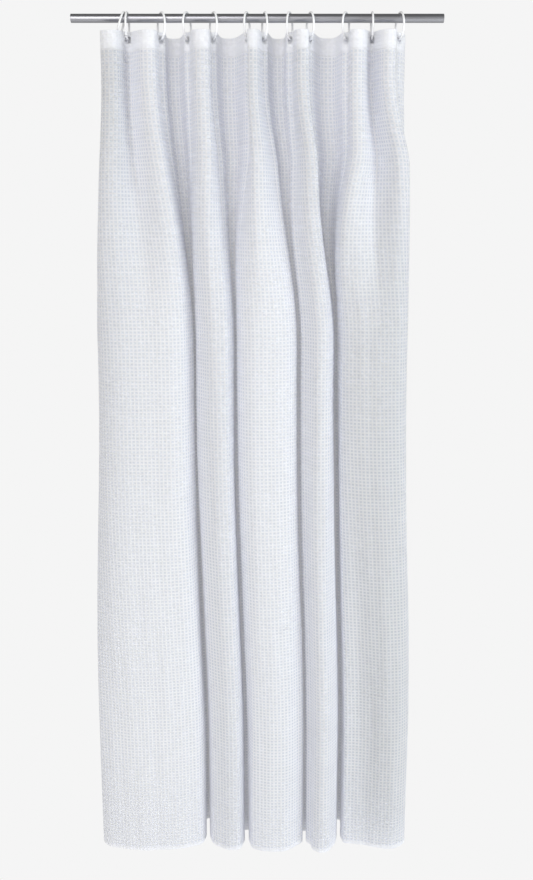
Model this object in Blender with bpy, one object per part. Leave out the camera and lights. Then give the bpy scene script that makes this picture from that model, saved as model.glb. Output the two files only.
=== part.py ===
"""Shower curtain on a straight rod: one hemmed cloth hung from twelve open rings.

The origin is on the rod's axis at mid length. +X runs along the rod, +Y away from the room side, +Z up.
"""
import math

import bpy
import numpy as np

# Rod: a plain round tube with open, square-cut ends.
ROD_LENGTH = 0.823
ROD_OUTER_R = 0.0095
ROD_WALL = 0.0010
ROD_SIDES = 48

# Rings: round plastic wire, bent to a circle that is open at one place.
RING_COUNT = 12
RING_R = 0.0277
WIRE_R = 0.0023
RING_ON_ROD_GAP = 0.0003
RING_STEPS = 34
WIRE_SIDES = 8
RING_SPLIT_DEG = 34.0
RING_SPLIT_GAP = 0.0016
BEAD_R = 0.0031
BEAD_LENGTH = 0.0064

# Each ring: place of its hole along the rod, turn about the upright, lean towards -X (degrees).
RING_PLACES = (
    (-0.3091, 0.0, 16.0),
    (-0.2870, -1.0, 0.0),
    (-0.2123, 22.0, 0.0),
    (-0.1555, -14.0, 0.0),
    (-0.0971, 19.0, 0.0),
    (-0.0230, -11.5, 0.0),
    (0.0161, 11.5, 0.0),
    (0.0716, -14.0, 0.0),
    (0.1169, 14.0, 0.0),
    (0.1958, -19.0, 0.0),
    (0.2540, -1.0, 0.0),
    (0.3150, 12.0, 0.0),
)

# Cloth: cut 1.80 m wide and 2.00 m long, holes every 150 mm.
CLOTH_WIDTH = 1.80
CLOTH_LENGTH = 2.00
CLOTH_THICK = 0.0012
HOLE_PITCH = 0.150
HOLE_DROP = 0.0163
TOP_HEM = 0.040
BOTTOM_HEM = 0.010
SIDE_HEM = 0.010
HEM_EXTRA = 0.0010
HEM_STEP = 0.0015
COLUMN_STEP = 0.010
STRAIGHT_DROP = 0.08
WAIST_DROP = 0.70
LOW_DROP = 1.75
MOST_GAIN = 1.10

# Overcast buttonholes and seam thread.
BORE_R = 0.0046
BINDING_R = 0.0012
SEWN_GAP = 0.0003
BINDING_STEPS = 18
BINDING_SIDES = 6
THREAD_WIDTH = 0.0012
THREAD_THICK = 0.0006
TOP_STITCH_UP = 0.003
EDGE_STITCH_IN = 0.008

# Folds seen from above (x, y). The top follows the rings; lower down they merge into broad folds.
LEFT_END = ((-0.3026, 0.074), (-0.2960, 0.052), (-0.2940, 0.026), (-0.2985, 0.007))
LEFT_LOOP = ((-0.324, -0.003), (-0.338, -0.012), (-0.3434, -0.030), (-0.336, -0.047),
             (-0.320, -0.053), (-0.306, -0.046), (-0.2935, -0.008))
RING_2_RIGHT = (-0.2795, -0.004)
RIGHT_END = ((0.327, 0.018), (0.3325, 0.040), (0.325, 0.062))
# Bulges between rings 2-3, 3-4 and so on: middle x, half width of the crown, side (-1 near, +1 far).
BULGES = (
    (-0.2376, 0.014, -1), (-0.1900, 0.013, 1), (-0.1211, 0.014, -1), (-0.0660, 0.014, 1), (-0.0100, 0.011, -1),
    (0.0470, 0.012, 1), (0.0990, 0.012, -1), (0.1590, 0.015, 1), (0.2180, 0.013, -1), (0.2869, 0.013, -1),
)
BULGE_DEPTH = 0.055
CROSSING = 0.007
WAIST_FOLDS = (
    (-0.3165, 0.0319), (-0.3461, 0.0351), (-0.3685, 0.0188), (-0.3769, -0.0050), (-0.3647, -0.0290),
    (-0.3361, -0.0450), (-0.2998, -0.0510), (-0.2624, -0.0480), (-0.2313, -0.0510), (-0.2031, -0.0490),
    (-0.1827, -0.0390), (-0.1684, -0.0240), (-0.1595, -0.0065), (-0.1547, 0.0133), (-0.1620, 0.0413),
    (-0.1665, 0.0694), (-0.1595, 0.0904), (-0.1455, 0.0904), (-0.1385, 0.0694), (-0.1410, 0.0413),
    (-0.1463, 0.0133), (-0.1415, -0.0065), (-0.1326, -0.0240), (-0.1185, -0.0400), (-0.1037, -0.0510),
    (-0.0871, -0.0530), (-0.0708, -0.0470), (-0.0626, -0.0250), (-0.0590, -0.0154), (-0.0570, -0.0046),
    (-0.0630, 0.0107), (-0.0665, 0.0260), (-0.0595, 0.0374), (-0.0455, 0.0374), (-0.0385, 0.0260),
    (-0.0420, 0.0107), (-0.0480, -0.0046), (-0.0461, -0.0154), (-0.0425, -0.0250), (-0.0318, -0.0430),
    (-0.0116, -0.0520), (0.0168, -0.0540), (0.0451, -0.0500), (0.0690, -0.0390), (0.0800, -0.0250),
    (0.0889, -0.0152), (0.0937, -0.0040), (0.0874, 0.0117), (0.0839, 0.0275), (0.0909, 0.0393),
    (0.1049, 0.0393), (0.1119, 0.0275), (0.1084, 0.0117), (0.1021, -0.0040), (0.1069, -0.0152),
    (0.1158, -0.0250), (0.1258, -0.0430), (0.1371, -0.0540), (0.1488, -0.0550), (0.1610, -0.0490),
    (0.1732, -0.0240), (0.1788, -0.0059), (0.1818, 0.0145), (0.1758, 0.0434), (0.1723, 0.0723),
    (0.1793, 0.0940), (0.1933, 0.0940), (0.2003, 0.0723), (0.1968, 0.0434), (0.1908, 0.0145),
    (0.1938, -0.0059), (0.1994, -0.0240), (0.2092, -0.0370), (0.2321, -0.0470), (0.2601, -0.0510),
    (0.2928, -0.0540), (0.3218, -0.0490), (0.3430, -0.0310), (0.3519, -0.0090), (0.3486, 0.0136),
    (0.3244, 0.0280), (0.2830, 0.0322), (0.2407, 0.0280),
)
HEM_FOLDS = (
    (-0.3909, 0.0342), (-0.4001, 0.0342), (-0.4081, 0.0222), (-0.4079, 0.0030), (-0.3967, -0.0190),
    (-0.3582, -0.0350), (-0.3058, -0.0440), (-0.2522, -0.0430), (-0.2066, -0.0380), (-0.1713, -0.0290),
    (-0.1528, -0.0170), (-0.1429, 0.0002), (-0.1376, 0.0197), (-0.1462, 0.0472), (-0.1514, 0.0747),
    (-0.1439, 0.0953), (-0.1289, 0.0953), (-0.1214, 0.0747), (-0.1237, 0.0472), (-0.1292, 0.0197),
    (-0.1239, 0.0002), (-0.1141, -0.0170), (-0.1019, -0.0290), (-0.0834, -0.0410), (-0.0628, -0.0450),
    (-0.0502, -0.0380), (-0.0422, -0.0190), (-0.0384, -0.0091), (-0.0363, 0.0021), (-0.0426, 0.0178),
    (-0.0463, 0.0336), (-0.0388, 0.0455), (-0.0238, 0.0455), (-0.0163, 0.0336), (-0.0201, 0.0178),
    (-0.0263, 0.0021), (-0.0243, -0.0091), (-0.0205, -0.0190), (-0.0118, -0.0370), (0.0114, -0.0480),
    (0.0420, -0.0510), (0.0701, -0.0460), (0.0909, -0.0340), (0.1002, -0.0220), (0.1092, -0.0128),
    (0.1141, -0.0023), (0.1080, 0.0125), (0.1053, 0.0272), (0.1128, 0.0383), (0.1278, 0.0383),
    (0.1353, 0.0272), (0.1305, 0.0125), (0.1225, -0.0023), (0.1273, -0.0128), (0.1363, -0.0220),
    (0.1419, -0.0410), (0.1541, -0.0530), (0.1694, -0.0540), (0.1826, -0.0450), (0.1975, -0.0130),
    (0.2030, 0.0029), (0.2060, 0.0209), (0.1992, 0.0464), (0.1955, 0.0718), (0.2030, 0.0909),
    (0.2180, 0.0909), (0.2255, 0.0718), (0.2217, 0.0464), (0.2150, 0.0209), (0.2179, 0.0029),
    (0.2234, -0.0130), (0.2414, -0.0150), (0.2618, -0.0180), (0.2818, -0.0250), (0.3041, -0.0330),
    (0.3317, -0.0380), (0.3580, -0.0330), (0.3753, -0.0190), (0.3816, -0.0010), (0.3805, 0.0217),
    (0.3543, 0.0383), (0.3061, 0.0424), (0.2571, 0.0383),
)

COLOUR_CLOTH = (0.88, 0.885, 0.91)
COLOUR_THREAD = (0.92, 0.92, 0.93)
COLOUR_RING = (0.93, 0.93, 0.92)
COLOUR_ROD = (0.30, 0.30, 0.31)


def material(name, colour, roughness, metallic):
    """A plain Principled material."""
    made = bpy.data.materials.new(name)
    made.use_nodes = True
    shader = made.node_tree.nodes["Principled BSDF"]
    shader.inputs["Base Color"].default_value = (*colour, 1.0)
    shader.inputs["Roughness"].default_value = roughness
    shader.inputs["Metallic"].default_value = metallic
    return made


def add_mesh(name, points, faces, look, smooth=True):
    """A mesh object from points and faces."""
    mesh = bpy.data.meshes.new(name)
    mesh.from_pydata([tuple(p) for p in points], [], faces)
    mesh.materials.append(look)
    mesh.polygons.foreach_set("use_smooth", [smooth] * len(mesh.polygons))
    mesh.update()
    made = bpy.data.objects.new(name, mesh)
    bpy.context.scene.collection.objects.link(made)
    return made


def through(points, per_span=24):
    """A smooth curve through the points, as a dense polyline, and the index of each point in it."""
    p = np.array(points)
    p = np.vstack([2 * p[0] - p[1], p, 2 * p[-1] - p[-2]])
    u = np.linspace(0, 1, per_span, endpoint=False)[:, None]
    spans = []
    for a, b, c, d in zip(p[:-3], p[1:-2], p[2:-1], p[3:]):
        spans.append(0.5 * (2 * b + (c - a) * u + (2 * a - 5 * b + 4 * c - d) * u**2
                            + (3 * b - a - 3 * c + d) * u**3))
    spans.append(p[-2:-1])
    return np.vstack(spans), np.arange(len(points)) * per_span


def lengths_along(line):
    """Distance from the first point to each point of a polyline."""
    return np.concatenate([[0], np.cumsum(np.linalg.norm(np.diff(line, axis=0), axis=1))])


def top_folds(widths):
    """The plan curve at the rings, with each bulge deep enough for its 150 mm of cloth."""
    depth = np.full(len(BULGES), BULGE_DEPTH)
    holes_x = [place[0] for place in RING_PLACES]
    for _ in range(30):
        points = [*LEFT_END, (holes_x[0], 0), *LEFT_LOOP, (holes_x[1], 0), RING_2_RIGHT]
        marks = [len(LEFT_END), len(points) - 2]
        after = [bulge[2] for bulge in BULGES[1:]] + [1]
        for (middle, half, side), deep, x, next_side in zip(BULGES, depth, holes_x[2:], after):
            points += [(middle - half, side * deep), (middle + half, side * deep)]
            # At a ring the wire pulls the cloth square to itself, so it crosses at 45 degrees.
            crossing = [] if side == next_side else [CROSSING]
            points += [(x - a, side * a) for a in crossing] + [(x, 0)] + [(x + a, -side * a) for a in crossing]
            marks.append(len(points) - 1 - len(crossing))
        points += RIGHT_END
        line, index = through(points)
        run = lengths_along(line)
        at_holes = run[index[marks]]
        depth = depth * HOLE_PITCH / np.diff(at_holes)[1:]
    holes_s = np.array([CLOTH_WIDTH / 2 + (k - (RING_COUNT - 1) / 2) * HOLE_PITCH for k in range(RING_COUNT)])
    known_run = np.concatenate([[0], at_holes, [run[-1]]])
    known_s = np.concatenate([[0], holes_s, [CLOTH_WIDTH]])
    at = np.interp(widths, known_s, known_run)
    return np.stack([np.interp(at, run, line[:, 0]), np.interp(at, run, line[:, 1])], axis=1), holes_s


def broad_folds(points, widths):
    """A plan curve lower down, stretched so that its length is the cloth's width."""
    line, _ = through(points)
    run = lengths_along(line)
    line = line * CLOTH_WIDTH / run[-1]
    at = widths / CLOTH_WIDTH * run[-1]
    return np.stack([np.interp(at, run, line[:, 0]), np.interp(at, run, line[:, 1])], axis=1)


def headings(line):
    """Heading of each step of a polyline, without jumps of a full turn, the middle ones near zero."""
    step = np.diff(line, axis=0)
    turn = np.unwrap(np.arctan2(step[:, 1], step[:, 0]))
    return turn - 2 * math.pi * round(np.median(turn) / (2 * math.pi))


def walked(turn, step):
    """The polyline that takes each step at its heading."""
    return np.vstack([[0, 0], np.cumsum(np.stack([np.cos(turn), np.sin(turn)], 1) * step[:, None], axis=0)])


def plan_at(drop, widths, keys):
    """The plan curve a given drop below the top edge: headings run from each key curve to the next."""
    upper, lower = (keys[0], keys[1]) if drop < keys[1][0] else (keys[1], keys[2])
    share = min(1.0, max(0.0, (drop - upper[0]) / (lower[0] - upper[0])))
    share = share * share * (3 - 2 * share)
    above, below = upper[1], lower[1]
    if share == 0:
        return above
    if share == 1:
        return below
    turn = (1 - share) * headings(above) + share * headings(below)
    step = ((1 - share) * np.linalg.norm(np.diff(above, axis=0), axis=1)
            + share * np.linalg.norm(np.diff(below, axis=0), axis=1))
    low, high = ((1 - share) * ends[0] + share * ends[1] for ends in
                 ((above[:, 0].min(), below[:, 0].min()), (above[:, 0].max(), below[:, 0].max())))
    # The folds are made steeper until the cloth is as wide as the extent allows.
    mild, steep = 0.8, MOST_GAIN
    for _ in range(30):
        gain = 0.5 * (mild + steep)
        run = walked(gain * turn, step)
        if np.ptp(run[:, 0]) > high - low:
            mild = gain
        else:
            steep = gain
    x = low + (run[:, 0] - run[:, 0].min()) * (high - low) / np.ptp(run[:, 0])
    ends = [(1 - share) * above[i, 1] + share * below[i, 1] for i in (0, -1)]
    along = widths / CLOTH_WIDTH
    y = run[:, 1] + (ends[0] - run[0, 1]) * (1 - along) + (ends[1] - run[-1, 1]) * along
    return np.stack([x, y], axis=1)


class Drape:
    """Where a point of the flat cloth hangs: width, drop below the top edge, offset off its middle surface."""

    def __init__(self, top_z):
        self.top_z = top_z
        self.widths = np.linspace(0, CLOTH_WIDTH, 361)
        top, self.holes = top_folds(self.widths)
        waist, low = (broad_folds(points, self.widths) for points in (WAIST_FOLDS, HEM_FOLDS))
        self.keys = ((STRAIGHT_DROP, top), (WAIST_DROP, waist), (LOW_DROP, low))

    def at(self, widths, drop, offset):
        line = plan_at(drop, self.widths, self.keys)
        along = np.gradient(line, axis=0)
        along /= np.linalg.norm(along, axis=1)[:, None]
        place = np.stack([np.interp(widths, self.widths, line[:, i]) for i in (0, 1)], axis=1)
        way = np.stack([np.interp(widths, self.widths, along[:, i]) for i in (0, 1)], axis=1)
        way /= np.linalg.norm(way, axis=1)[:, None]
        off = np.stack([-way[:, 1], way[:, 0]], axis=1) * np.asarray(offset)[..., None]
        return np.column_stack([place + off, np.full(len(widths), self.top_z - drop)])


def sheet(name, drape, widths, drops, near, far, look):
    """A closed patch of the hung cloth between two offsets, each a number or a function of width and drop."""
    rows, columns = len(drops), len(widths)
    sides = []
    for offset in (near, far):
        value = offset if callable(offset) else (lambda w, d, fixed=offset: np.full(len(w), fixed))
        sides.append(np.vstack([drape.at(widths, drop, value(widths, drop)) for drop in drops]))
    points = np.vstack(sides)
    under = rows * columns
    faces = []
    for r in range(rows - 1):
        for c in range(columns - 1):
            a = r * columns + c
            b = a + columns
            faces.append((a, b, b + 1, a + 1))
            faces.append((under + a, under + a + 1, under + b + 1, under + b))
    top_row = list(range(columns))
    low_row = [(rows - 1) * columns + c for c in range(columns)]
    left = [r * columns for r in range(rows)]
    right = [r * columns + columns - 1 for r in range(rows)]
    for row, flip in ((top_row, False), (low_row, True), (left, True), (right, False)):
        for a, b in zip(row[:-1], row[1:]):
            quad = (a, b, under + b, under + a)
            faces.append(quad[::-1] if flip else quad)
    return add_mesh(name, points, faces, look)


def tube(name, centres, outs, binormals, radii, sides, look, closed):
    """A round section carried along a path, closed on itself or capped, with its faces outwards."""
    if np.dot(np.cross(outs[0], binormals[0]), centres[1] - centres[0]) < 0:
        binormals = -binormals
    turn = np.linspace(0, 2 * math.pi, sides, endpoint=False)
    ring = np.cos(turn)[None, :, None] * outs[:, None, :] + np.sin(turn)[None, :, None] * binormals[:, None, :]
    points = (centres[:, None, :] + radii[:, None, None] * ring).reshape(-1, 3)
    faces = []
    steps = len(centres)
    for i in range(steps if closed else steps - 1):
        for j in range(sides):
            a, b = i * sides, (i + 1) % steps * sides
            k = (j + 1) % sides
            faces.append((a + j, a + k, b + k, b + j))
    if not closed:
        faces.append(tuple(range(sides))[::-1])
        faces.append(tuple((steps - 1) * sides + j for j in range(sides)))
    return add_mesh(name, points, faces, look)


def build_rod(look):
    """The tube: outer wall, bore and two ring-shaped ends."""
    turn = np.linspace(0, 2 * math.pi, ROD_SIDES, endpoint=False)
    corners = ((-1, ROD_OUTER_R), (1, ROD_OUTER_R), (1, ROD_OUTER_R - ROD_WALL), (-1, ROD_OUTER_R - ROD_WALL))
    points = [(side * ROD_LENGTH / 2, r * math.cos(a), r * math.sin(a)) for side, r in corners for a in turn]
    faces = []
    for band in range(len(corners)):
        after = (band + 1) % len(corners)
        for j in range(ROD_SIDES):
            k = (j + 1) % ROD_SIDES
            faces.append((band * ROD_SIDES + j, band * ROD_SIDES + k, after * ROD_SIDES + k,
                          after * ROD_SIDES + j))
    made = add_mesh("rod_tube", points, faces, look)
    for polygon in made.data.polygons:
        polygon.use_smooth = abs(polygon.normal.x) < 0.5
    return made


def ring_middle(place):
    """Centre of a ring that rests on the rod, from the place of its hole."""
    x, _, lean = place
    lean = math.radians(lean)
    wire_top = ROD_OUTER_R + RING_ON_ROD_GAP + WIRE_R
    return x + RING_R * math.sin(lean), wire_top - RING_R * math.cos(lean)


def build_ring(number, place, look):
    """An open ring: round wire with a bead at one end, which closes against the plain end."""
    gap = RING_SPLIT_GAP / RING_R
    start = math.radians(RING_SPLIT_DEG) + gap / 2
    end = start + 2 * math.pi - gap
    bead = BEAD_LENGTH / RING_R
    turn = np.concatenate([
        [start, start + bead * 0.08],
        start + bead * np.linspace(0.25, 1.0, 5),
        np.linspace(start + bead * 1.25, end - 0.02, RING_STEPS - 8),
        [end],
    ])
    along = np.clip((turn - start) / bead, 0, 1)
    radii = np.maximum(WIRE_R, BEAD_R * np.sqrt(np.clip(1 - (2 * along - 1) ** 2, 0, 1)))
    radii[0] = 0.6 * WIRE_R
    radii[-1] = 0.7 * WIRE_R
    # The turn is measured from the lowest point towards the near side.
    outs = np.stack([np.zeros_like(turn), -np.sin(turn), -np.cos(turn)], axis=1)
    sideways = np.tile([1.0, 0.0, 0.0], (len(turn), 1))
    made = tube(f"ring_{number:02d}", RING_R * outs, sideways, outs, radii, WIRE_SIDES, look, closed=False)
    middle_x, middle_z = ring_middle(place)
    made.location = (middle_x, 0.0, middle_z)
    made.rotation_euler = (0.0, math.radians(place[2]), math.radians(place[1]))
    return made


def hole_frame(drape, width, drop):
    """Middle of a hole and its two in-plane directions, on the cloth's middle surface."""
    half = 0.003
    before, middle, after = drape.at(np.array([width - half, width, width + half]), drop, 0.0)
    along = (after - before) / np.linalg.norm(after - before)
    upright = np.array([0.0, 0.0, 1.0])
    return middle, along, upright, np.cross(along, upright)


def build():
    for old in list(bpy.data.objects):
        bpy.data.objects.remove(old, do_unlink=True)
    cloth = material("cloth", COLOUR_CLOTH, 0.85, 0.0)
    thread = material("thread", COLOUR_THREAD, 0.7, 0.0)
    plastic = material("ring_plastic", COLOUR_RING, 0.35, 0.0)
    steel = material("rod_steel", COLOUR_ROD, 0.35, 1.0)

    build_rod(steel)
    for number, place in enumerate(RING_PLACES, 1):
        build_ring(number, place, plastic)

    # The upper edge of each bore rests on its ring's wire.
    wire_low = ROD_OUTER_R + RING_ON_ROD_GAP + WIRE_R - 2 * RING_R
    bore_z = wire_low + WIRE_R + SEWN_GAP - BORE_R
    drape = Drape(bore_z + HOLE_DROP)

    middle = CLOTH_THICK / 2
    hem_sides = (SIDE_HEM, CLOTH_WIDTH - SIDE_HEM)

    def back_of(widths, drop):
        hemmed = drop <= TOP_HEM or drop >= CLOTH_LENGTH - BOTTOM_HEM
        sides = (widths <= hem_sides[0]) | (widths >= hem_sides[1])
        return middle + HEM_EXTRA * (sides | hemmed)

    columns = np.arange(2 * SIDE_HEM, CLOTH_WIDTH - SIDE_HEM - COLUMN_STEP / 2, COLUMN_STEP)
    left_seam = EDGE_STITCH_IN + np.array([-THREAD_WIDTH / 2, THREAD_WIDTH / 2])
    right_seam = CLOTH_WIDTH - left_seam[::-1]
    columns = np.concatenate([[0], left_seam, [SIDE_HEM, SIDE_HEM + HEM_STEP], columns,
                              [hem_sides[1] - HEM_STEP, hem_sides[1]], right_seam, [CLOTH_WIDTH]])
    drops = np.concatenate([[0, TOP_HEM, TOP_HEM + HEM_STEP, STRAIGHT_DROP],
                            np.linspace(0.25, LOW_DROP, 8),
                            [CLOTH_LENGTH - BOTTOM_HEM - HEM_STEP, CLOTH_LENGTH - BOTTOM_HEM, CLOTH_LENGTH]])
    panel = sheet("curtain_panel", drape, columns, drops, -middle, back_of, cloth)

    for number, (place, width) in enumerate(zip(RING_PLACES, drape.holes), 1):
        hole_z = ring_middle(place)[1] - RING_R * math.cos(math.radians(place[2]))
        drop = drape.top_z - (hole_z + WIRE_R + SEWN_GAP - BORE_R)
        point, along, upright, out = hole_frame(drape, width, drop)
        point = point - out * HEM_EXTRA / 2
        turn = np.linspace(0, 2 * math.pi, BINDING_STEPS, endpoint=False)
        rays = np.cos(turn)[:, None] * along + np.sin(turn)[:, None] * upright
        circle = point + (BORE_R + BINDING_R) * rays
        outs = np.tile(out, (BINDING_STEPS, 1))
        tube(f"buttonhole_{number:02d}", circle, outs, rays, np.full(BINDING_STEPS, BINDING_R),
             BINDING_SIDES, thread, closed=True)
        hole_r = BORE_R + 2 * BINDING_R + SEWN_GAP
        reach = 0.008
        ends = np.vstack([point - out * reach, point + out * reach])
        cutter = tube(f"cut_{number:02d}", ends, np.tile(upright, (2, 1)), np.tile(along, (2, 1)),
                      np.full(2, hole_r), BINDING_STEPS, cloth, closed=False)
        cutter.hide_render = True
        cutter.display_type = "WIRE"
        cut = panel.modifiers.new(f"hole_{number:02d}", "BOOLEAN")
        cut.operation = "DIFFERENCE"
        cut.solver = "EXACT"
        cut.object = cutter

    over = -(middle + SEWN_GAP)
    above = over - THREAD_THICK
    inner = columns[(columns >= hem_sides[0] + HEM_STEP) & (columns <= hem_sides[1] - HEM_STEP)]
    for name, drop in (("stitch_top", TOP_HEM - TOP_STITCH_UP), ("stitch_bottom", CLOTH_LENGTH - EDGE_STITCH_IN)):
        rows = [drop - THREAD_WIDTH / 2, drop + THREAD_WIDTH / 2]
        sheet(name, drape, inner, rows, above, over, thread)
    low_end = CLOTH_LENGTH - EDGE_STITCH_IN - 2 * THREAD_WIDTH
    rows = drops[(drops > TOP_HEM) & (drops < low_end)]
    rows = np.concatenate([[TOP_HEM - TOP_STITCH_UP + 2 * THREAD_WIDTH], rows, [low_end]])
    for name, edges in (("stitch_left", left_seam), ("stitch_right", right_seam)):
        sheet(name, drape, edges, rows, above, over, thread)


build()
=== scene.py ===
"""Shower curtain: the looks of the rod, the rings, the hung cloth and its sewing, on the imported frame.

Metres. The origin is on the rod's axis at mid length, +X runs along the rod, +Y away, +Z up.
"""

import math

import bpy
import numpy as np
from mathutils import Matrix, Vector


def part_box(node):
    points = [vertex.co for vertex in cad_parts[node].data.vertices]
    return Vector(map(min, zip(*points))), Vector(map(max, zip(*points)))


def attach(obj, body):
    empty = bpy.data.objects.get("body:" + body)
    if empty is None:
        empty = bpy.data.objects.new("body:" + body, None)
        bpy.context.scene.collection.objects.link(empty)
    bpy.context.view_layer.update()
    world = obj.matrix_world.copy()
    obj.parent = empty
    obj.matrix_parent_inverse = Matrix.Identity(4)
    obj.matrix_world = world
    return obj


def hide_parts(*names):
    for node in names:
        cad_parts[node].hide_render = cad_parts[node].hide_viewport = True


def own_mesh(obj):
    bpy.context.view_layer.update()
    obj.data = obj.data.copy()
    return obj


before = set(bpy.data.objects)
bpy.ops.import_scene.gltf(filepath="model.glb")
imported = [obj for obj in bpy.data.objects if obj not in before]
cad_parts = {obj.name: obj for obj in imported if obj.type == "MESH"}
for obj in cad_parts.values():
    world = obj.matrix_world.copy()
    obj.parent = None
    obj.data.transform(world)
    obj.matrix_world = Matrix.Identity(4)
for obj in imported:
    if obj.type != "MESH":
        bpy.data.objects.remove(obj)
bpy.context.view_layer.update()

# ---------------------------------------------------------------------------------------------
# Rod
# A plain steel tube, drawn and finished satin, cut square at both ends with the burr taken off.
# It carries everything else; the rings slide along it and rub faint marks into its upper side.
# ---------------------------------------------------------------------------------------------
rod_low, rod_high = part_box("rod_tube")
ROD_R = rod_high.z
ROD_HALF = rod_high.x
ROD_WALL = 0.0010
ROD_CHAMFER = 0.0003
ROD_SIDES = 96
ROD_STEPS = 40


def grid_faces(rows, columns, close_rows, close_columns):
    """Quads between neighbouring points of a rows x columns grid, joined end to start where closed."""
    r = np.arange(rows if close_rows else rows - 1)[:, None]
    c = np.arange(columns if close_columns else columns - 1)[None, :]
    down, across = (r + 1) % rows, (c + 1) % columns
    corners = [r * columns + c, down * columns + c, down * columns + across, r * columns + across]
    return np.stack([np.broadcast_to(k, (r.size, c.size)).ravel() for k in corners], axis=1)


def new_piece(name, points, faces, look, smooth=True):
    """A mesh object at the origin from arrays of points and of quads."""
    mesh = bpy.data.meshes.new(name)
    rows = faces if isinstance(faces, list) else faces.tolist()
    mesh.from_pydata(np.asarray(points).reshape(-1, 3), [], rows)
    mesh.materials.append(look)
    mesh.polygons.foreach_set("use_smooth", np.full(len(mesh.polygons), smooth))
    mesh.update()
    piece = bpy.data.objects.new(name, mesh)
    bpy.context.scene.collection.objects.link(piece)
    return piece


def turned_tube(half, outer, inner, chamfer, sides, steps):
    """A closed profile (x, r) - outer wall, chamfer, end face, bore and back - turned round the X axis."""
    along = np.linspace(-half + chamfer, half - chamfer, steps)
    wall = np.stack([along, np.full(steps, outer)], axis=1)
    right = [(half, outer - chamfer), (half, inner + chamfer)]
    bore = np.stack([along[::-1], np.full(steps, inner)], axis=1)
    left = [(-half, inner + chamfer), (-half, outer - chamfer)]
    profile = np.vstack([wall, right, bore, left])
    turn = np.linspace(0, 2 * math.pi, sides, endpoint=False)[None, :]
    x = np.broadcast_to(profile[:, :1], (len(profile), sides))
    r = profile[:, 1:]
    return np.stack([x, r * np.sin(turn), r * np.cos(turn)], axis=2)


class Wiring:
    """Short hand for building a node tree: add a node, then link values or sockets to its inputs."""

    def __init__(self, tree):
        self.tree = tree

    def add(self, kind, settings=None, **inputs):
        node = self.tree.nodes.new(kind)
        for key, value in (settings or {}).items():
            setattr(node, key, value)
        for key, value in inputs.items():
            self.feed(node, key, value)
        return node

    def feed(self, node, key, value):
        index = key.replace("_", " ") if not key.startswith("n") or not key[1:].isdigit() else int(key[1:])
        socket = node.inputs[index]
        if isinstance(value, bpy.types.NodeSocket):
            self.tree.links.new(value, socket)
        else:
            socket.default_value = value

    def math(self, operation, *values):
        node = self.add("ShaderNodeMath", {"operation": operation})
        for i, value in enumerate(values):
            self.feed(node, f"n{i}", value)
        return node.outputs[0]

    def ramp(self, value, low, high, to_low=0.0, to_high=1.0):
        node = self.add("ShaderNodeMapRange", {"interpolation_type": "SMOOTHSTEP"})
        for i, item in enumerate((value, low, high, to_low, to_high)):
            self.feed(node, f"n{i}", item)
        return node.outputs[0]

    def mix(self, share, first, second):
        node = self.add("ShaderNodeMix", {"data_type": "RGBA"})
        self.feed(node, "n0", share)
        self.feed(node, "n6", first)
        self.feed(node, "n7", second)
        return node.outputs[2]


def new_material(name, **fixed):
    """A material with its Principled shader's fixed values set on its own sockets."""
    look = bpy.data.materials.new(name)
    look.use_nodes = True
    shader = look.node_tree.nodes["Principled BSDF"]
    wires = Wiring(look.node_tree)
    for key, value in fixed.items():
        wires.feed(shader, key, value)
    return look, wires, shader


def new_group(name, inputs, outputs):
    """An empty shader node group with named sockets, and its wiring."""
    group = bpy.data.node_groups.new(name, "ShaderNodeTree")
    for label, kind, value in inputs:
        socket = group.interface.new_socket(label, in_out="INPUT", socket_type=kind)
        if value is not None:
            socket.default_value = value
    for label, kind in outputs:
        group.interface.new_socket(label, in_out="OUTPUT", socket_type=kind)
    wires = Wiring(group)
    return group, wires, wires.add("NodeGroupInput"), wires.add("NodeGroupOutput")


FLOAT, VECTOR = "NodeSocketFloat", "NodeSocketVector"

# Handling marks: soft cloudy patches and fine scratches, used on the rod and the rings.
handling, wires, given, result = new_group(
    "handling_marks",
    [("Vector", VECTOR, None), ("Cloud Scale", FLOAT, 8.0), ("Scratch Scale", FLOAT, 300.0)],
    [("Cloud", FLOAT), ("Scratch", FLOAT)],
)
cloud = wires.add("ShaderNodeTexNoise", Vector=given.outputs[0], Scale=given.outputs[1], Detail=3.0)
scratch = wires.add("ShaderNodeTexNoise", Vector=given.outputs[0], Scale=given.outputs[2], Detail=2.0)
wires.feed(result, "n0", wires.ramp(cloud.outputs[0], 0.3, 0.7))
wires.feed(result, "n1", wires.ramp(scratch.outputs[0], 0.56, 0.72))

satin_steel, wires, shader = new_material("satin_steel", Metallic=1.0, Specular_IOR_Level=0.5)
place = wires.add("ShaderNodeTexCoord").outputs["Object"]
# Drawing lines run the length of the tube: noise stretched along X.
drawn = wires.add("ShaderNodeMapping", Vector=place, Scale=(1.5, 900.0, 900.0))
lines = wires.add("ShaderNodeTexNoise", Vector=drawn.outputs[0], Scale=1.0, Detail=3.0)
marks = wires.add("ShaderNodeGroup", {"node_tree": handling}, Vector=place, Cloud_Scale=9.0,
                  Scratch_Scale=240.0)
apart = wires.add("ShaderNodeSeparateXYZ", Vector=place)
upper = wires.ramp(apart.outputs[2], 0.55 * ROD_R, ROD_R)
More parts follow.
